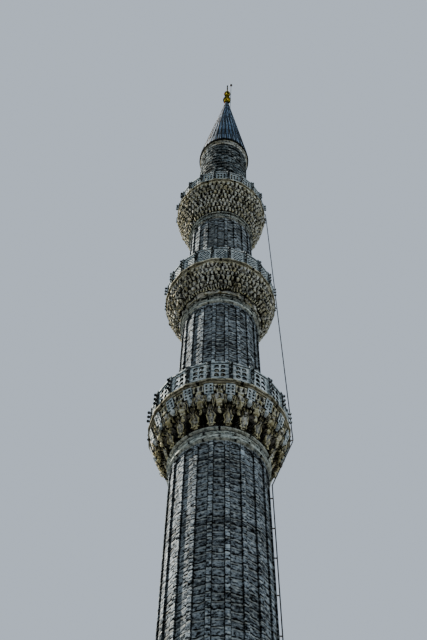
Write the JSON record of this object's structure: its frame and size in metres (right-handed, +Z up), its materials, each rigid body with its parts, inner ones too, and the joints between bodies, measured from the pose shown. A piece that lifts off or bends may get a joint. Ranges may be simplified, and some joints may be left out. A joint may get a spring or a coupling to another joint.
{
  "type": "scale model of a minaret",
  "caption": "Stone minaret: square base, fluted shaft, corbelled balconies with pierced parapets, drum, lead cone and gilt finial, as a 1:2 scale model.",
  "frame": {"origin": "centre of the plinth's underside, on the ground", "axes": "+Z up along the tower's axis, -Y towards the entrance, +X to the right of it"},
  "size_m": [2.45, 2.65, 32.025],
  "materials": {
    "stone": "weathered ashlar",
    "carved_stone": "weathered carving, dark in the recesses",
    "marble": "weathered, cut through",
    "lead": "dull lead sheet",
    "gilt": "gilded",
    "iron": "weathered"
  },
  "bodies": {
    "root": {"balcony_1_corbel_1": "carved_stone", "balcony_1_corbel_2": "carved_stone", "balcony_1_corbel_3": "carved_stone", "balcony_1_floor": "stone", "balcony_1_parapet_back": "marble", "balcony_1_parapet_front": "marble", "balcony_1_ring": "stone", "balcony_2_corbel_1": "carved_stone", "balcony_2_corbel_2": "carved_stone", "balcony_2_corbel_3": "carved_stone", "balcony_2_floor": "stone", "balcony_2_parapet_back": "marble", "balcony_2_parapet_front": "marble", "balcony_2_ring": "stone", "balcony_3_corbel_1": "carved_stone", "balcony_3_corbel_2": "carved_stone", "balcony_3_corbel_3": "carved_stone", "balcony_3_floor": "stone", "balcony_3_parapet_back": "marble", "balcony_3_parapet_front": "marble", "balcony_3_ring": "stone", "base_plinth": "stone", "conductor_lower": "iron", "conductor_upper": "iron", "cone_roof": "lead", "drum": "stone", "drum_cornice": "carved_stone", "entrance_step": "stone", "finial": "gilt", "finial_crescent": "gilt", "lightning_rod": "iron", "lower_ring": "stone", "pedestal_cornice": "stone", "pedestal_wall_back": "stone", "pedestal_wall_front_left": "stone", "pedestal_wall_front_right": "stone", "pedestal_wall_left": "stone", "pedestal_wall_over_door": "stone", "pedestal_wall_right": "stone", "shaft_lower": "stone", "shaft_middle": "stone", "shaft_upper": "stone", "transition": "stone"}
  },
  "joints": []
}
